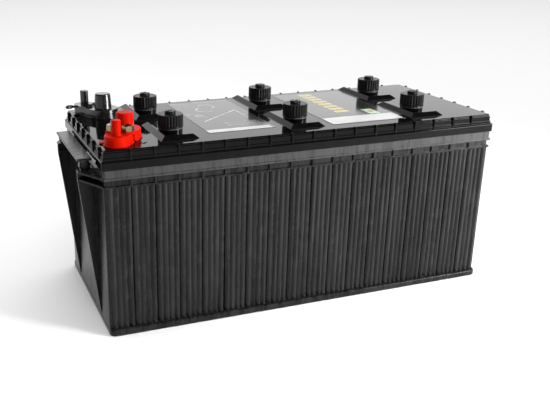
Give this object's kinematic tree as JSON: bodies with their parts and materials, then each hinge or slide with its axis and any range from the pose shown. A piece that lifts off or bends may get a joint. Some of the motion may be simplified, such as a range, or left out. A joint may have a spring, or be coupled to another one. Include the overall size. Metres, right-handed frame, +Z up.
{
  "type": "deep cycle battery",
  "caption": "Long black lead-acid leisure battery with fluted sides, raised screw-in vent plugs, end lifting bars, dual post-and-stud terminals at one end under red and black protectors.",
  "frame": {"origin": "centre of the footprint, on the ground the battery stands on", "axes": "+Z up; +X along the length, away from the terminals; +Y towards the back, where the negative terminal is"},
  "size_m": [0.565, 0.2296, 0.26],
  "materials": {
    "moulded_black": "satin moulded polypropylene",
    "cap_black": "satin moulded plastic",
    "protector_red": "glossy flexible vinyl",
    "protector_black": "glossy flexible vinyl",
    "lead": "cast lead alloy, dull grey",
    "plate_lead": "pasted lead grid",
    "plate_oxide": "pasted lead dioxide grid",
    "separator": "porous polyethylene sheet",
    "stud_steel": "stainless steel",
    "nut_zinc": "yellow-tinted zinc plate",
    "gasket_rubber": "black rubber",
    "label_film": "printed film"
  },
  "bodies": {
    "battery": {"container": "moulded_black", "cover": "moulded_black", "lifting_bar_left": "moulded_black", "lifting_bar_right": "moulded_black", "terminal_positive": "lead", "terminal_negative": "lead", "stud_positive": "stud_steel", "stud_negative": "stud_steel", "cell_welds": "lead", "label_left": "label_film", "label_right": "label_film", "positive_plates_1": "plate_oxide", "negative_plates_1": "plate_lead", "separators_1": "separator", "positive_plates_2": "plate_oxide", "negative_plates_2": "plate_lead", "separators_2": "separator", "positive_plates_3": "plate_oxide", "negative_plates_3": "plate_lead", "separators_3": "separator", "positive_plates_4": "plate_oxide", "negative_plates_4": "plate_lead", "separators_4": "separator", "positive_plates_5": "plate_oxide", "negative_plates_5": "plate_lead", "separators_5": "separator", "positive_plates_6": "plate_oxide", "negative_plates_6": "plate_lead", "separators_6": "separator"},
    "protector_positive": {"protector_positive": "protector_red", "stored_nuts": "nut_zinc"},
    "protector_negative": {"protector_negative": "protector_black"},
    "vent_seal_1": {"vent_gasket_1": "gasket_rubber"},
    "vent_plug_1": {"vent_cap_1": "cap_black", "vent_baffle_1": "cap_black"},
    "vent_seal_2": {"vent_gasket_2": "gasket_rubber"},
    "vent_plug_2": {"vent_cap_2": "cap_black", "vent_baffle_2": "cap_black"},
    "vent_seal_3": {"vent_gasket_3": "gasket_rubber"},
    "vent_plug_3": {"vent_cap_3": "cap_black", "vent_baffle_3": "cap_black"},
    "vent_seal_4": {"vent_gasket_4": "gasket_rubber"},
    "vent_plug_4": {"vent_cap_4": "cap_black", "vent_baffle_4": "cap_black"},
    "vent_seal_5": {"vent_gasket_5": "gasket_rubber"},
    "vent_plug_5": {"vent_cap_5": "cap_black", "vent_baffle_5": "cap_black"},
    "vent_seal_6": {"vent_gasket_6": "gasket_rubber"},
    "vent_plug_6": {"vent_cap_6": "cap_black", "vent_baffle_6": "cap_black"}
  },
  "joints": [
    {"name": "protector_positive_lift", "type": "slide", "parent": "battery", "child": "protector_positive", "axis": [0, 0, 1], "range_m": [0, 0.03]},
    {"name": "protector_negative_lift", "type": "slide", "parent": "battery", "child": "protector_negative", "axis": [0, 0, 1], "range_m": [0, 0.03]},
    {"name": "vent_1_lift", "type": "slide", "parent": "battery", "child": "vent_seal_1", "axis": [0, 0, 1], "range_m": [0, 0.0151]},
    {"name": "vent_1_turn", "type": "hinge", "parent": "vent_seal_1", "child": "vent_plug_1", "pos_m": [-0.16533, -0.055, 0.2295], "axis": [0, 0, 1], "range_deg": [0, 1800]},
    {"name": "vent_2_lift", "type": "slide", "parent": "battery", "child": "vent_seal_2", "axis": [0, 0, 1], "range_m": [0, 0.0151]},
    {"name": "vent_2_turn", "type": "hinge", "parent": "vent_seal_2", "child": "vent_plug_2", "pos_m": [0, -0.055, 0.2295], "axis": [0, 0, 1], "range_deg": [0, 1800]},
    {"name": "vent_3_lift", "type": "slide", "parent": "battery", "child": "vent_seal_3", "axis": [0, 0, 1], "range_m": [0, 0.0151]},
    {"name": "vent_3_turn", "type": "hinge", "parent": "vent_seal_3", "child": "vent_plug_3", "pos_m": [0.17233, -0.055, 0.2295], "axis": [0, 0, 1], "range_deg": [0, 1800]},
    {"name": "vent_4_lift", "type": "slide", "parent": "battery", "child": "vent_seal_4", "axis": [0, 0, 1], "range_m": [0, 0.0151]},
    {"name": "vent_4_turn", "type": "hinge", "parent": "vent_seal_4", "child": "vent_plug_4", "pos_m": [0.17233, 0.055, 0.2295], "axis": [0, 0, 1], "range_deg": [0, 1800]},
    {"name": "vent_5_lift", "type": "slide", "parent": "battery", "child": "vent_seal_5", "axis": [0, 0, 1], "range_m": [0, 0.0151]},
    {"name": "vent_5_turn", "type": "hinge", "parent": "vent_seal_5", "child": "vent_plug_5", "pos_m": [0, 0.055, 0.2295], "axis": [0, 0, 1], "range_deg": [0, 1800]},
    {"name": "vent_6_lift", "type": "slide", "parent": "battery", "child": "vent_seal_6", "axis": [0, 0, 1], "range_m": [0, 0.0151]},
    {"name": "vent_6_turn", "type": "hinge", "parent": "vent_seal_6", "child": "vent_plug_6", "pos_m": [-0.16533, 0.055, 0.2295], "axis": [0, 0, 1], "range_deg": [0, 1800]}
  ],
  "couplings": [
    {"joint": "vent_1_lift", "follows": "vent_1_turn", "m_per_rad": 0.00047746},
    {"joint": "vent_2_lift", "follows": "vent_2_turn", "m_per_rad": 0.00047746},
    {"joint": "vent_3_lift", "follows": "vent_3_turn", "m_per_rad": 0.00047746},
    {"joint": "vent_4_lift", "follows": "vent_4_turn", "m_per_rad": 0.00047746},
    {"joint": "vent_5_lift", "follows": "vent_5_turn", "m_per_rad": 0.00047746},
    {"joint": "vent_6_lift", "follows": "vent_6_turn", "m_per_rad": 0.00047746}
  ]
}
